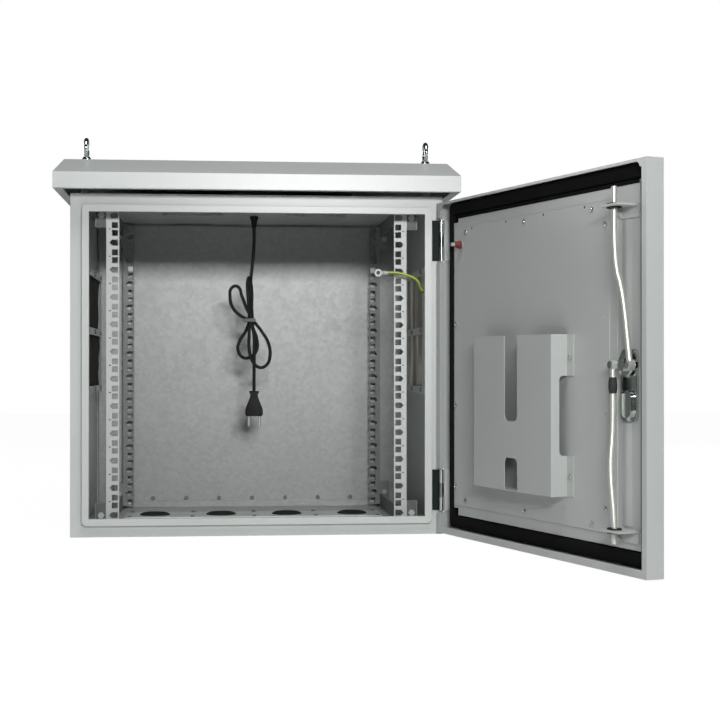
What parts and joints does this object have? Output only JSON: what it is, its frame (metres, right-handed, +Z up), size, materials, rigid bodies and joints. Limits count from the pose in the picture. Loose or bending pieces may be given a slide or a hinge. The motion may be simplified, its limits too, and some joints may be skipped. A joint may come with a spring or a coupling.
{
  "type": "wall-mount rack cabinet",
  "caption": "Outdoor wall cabinet with 19-inch rack rails, rain hood, side filters and a hinged door with a rod lock and a document pocket, shown open.",
  "frame": {"origin": "centre of the base, on its lower face", "axes": "+Z up, -Y to the front where the door is, +Y to the wall"},
  "size_m": [0.8373, 1.08, 0.6464],
  "materials": {
    "body_coat": "textured powder coat",
    "hood_coat": "textured powder coat",
    "door_coat": "textured powder coat",
    "galvanised": "galvanised sheet with a faint spangle",
    "zinc": "zinc plated",
    "bright_chrome": "polished",
    "rod_steel": "bright drawn",
    "black_rubber": "matt",
    "black_plastic": "moulded",
    "cord_sheath": "smooth sheath",
    "filter_fleece": "fleece",
    "earth_sheath": "green with a yellow stripe",
    "tie_plastic": "moulded",
    "cap_plastic": "moulded",
    "handle_coat": "powder coat"
  },
  "bodies": {
    "cabinet": {"back_panel": "body_coat", "left_side": "body_coat", "right_side": "body_coat", "roof_panel": "body_coat", "floor_panel": "body_coat", "front_frame": "body_coat", "back_liner": "galvanised", "panel_screws": "zinc", "gland_plate": "galvanised", "cable_grommets": "black_rubber", "rain_hood": "hood_coat", "hood_spacers": "zinc", "eyebolt_front_left": "zinc", "eyebolt_front_right": "zinc", "eyebolt_rear_left": "zinc", "eyebolt_rear_right": "zinc", "eyebolt_nuts": "zinc", "rail_supports": "zinc", "rail_front_left": "zinc", "rail_front_right": "zinc", "rail_rear_left": "zinc", "rail_rear_right": "zinc", "rail_bolts": "zinc", "cage_nuts": "zinc", "filter_frame_left": "body_coat", "filter_frame_right": "body_coat", "filter_mats": "filter_fleece", "fan_frame_left": "black_plastic", "fan_frame_right": "black_plastic", "fan_guards": "zinc", "cord_gland": "black_plastic", "power_cord_drop": "cord_sheath", "cord_hank": "cord_sheath", "power_cord_tail": "cord_sheath", "cord_tie": "tie_plastic", "power_plug": "black_plastic", "earth_stud": "zinc", "earth_wire": "earth_sheath", "earth_lug": "zinc", "wall_brackets": "galvanised", "hinge_body_leaves": "bright_chrome", "hinge_pins": "zinc"},
    "door": {"door_shell": "door_coat", "door_gasket": "black_rubber", "hinge_door_leaves": "bright_chrome", "door_tray": "door_coat", "inner_plate": "door_coat", "plate_screws": "zinc", "document_pocket": "door_coat", "rod_guides": "door_coat", "rod_bushes": "black_plastic", "lock_case": "bright_chrome", "door_earth_stud": "zinc", "stud_cap": "cap_plastic"},
    "lock": {"lock_cam": "bright_chrome", "lock_handle": "handle_coat"},
    "upper_rod": {"upper_rod": "rod_steel"},
    "lower_rod": {"lower_rod": "rod_steel"},
    "fan_left": {"fan_impeller_left": "black_plastic"},
    "fan_right": {"fan_impeller_right": "black_plastic"}
  },
  "joints": [
    {"name": "door_swing", "type": "hinge", "parent": "cabinet", "child": "door", "pos_m": [0.297, -0.2582, 0.275], "axis": [0, 0, 1], "range_deg": [-108, 10]},
    {"name": "lock_turn", "type": "hinge", "parent": "door", "child": "lock", "pos_m": [0.46325, -0.76987, 0.275], "axis": [-0.9511, -0.309, 0], "range_deg": [0, 90]},
    {"name": "upper_rod_pivot", "type": "hinge", "parent": "lock", "child": "upper_rod", "pos_m": [0.46943, -0.78889, 0.275], "axis": [-0.9511, -0.309, 0], "range_deg": [-98, 0]},
    {"name": "lower_rod_pivot", "type": "hinge", "parent": "lock", "child": "lower_rod", "pos_m": [0.45707, -0.75085, 0.275], "axis": [-0.9511, -0.309, 0], "range_deg": [-98, 0]},
    {"name": "fan_left_spin", "type": "hinge", "parent": "cabinet", "child": "fan_left", "pos_m": [-0.11, 0, 0.562], "axis": [0, 0, 1], "continuous": true},
    {"name": "fan_right_spin", "type": "hinge", "parent": "cabinet", "child": "fan_right", "pos_m": [0.11, 0, 0.562], "axis": [0, 0, 1], "continuous": true}
  ],
  "couplings": [
    {"joint": "upper_rod_pivot", "follows": "lock_turn", "ratio": -1.0575},
    {"joint": "lower_rod_pivot", "follows": "lock_turn", "ratio": -1.052}
  ]
}
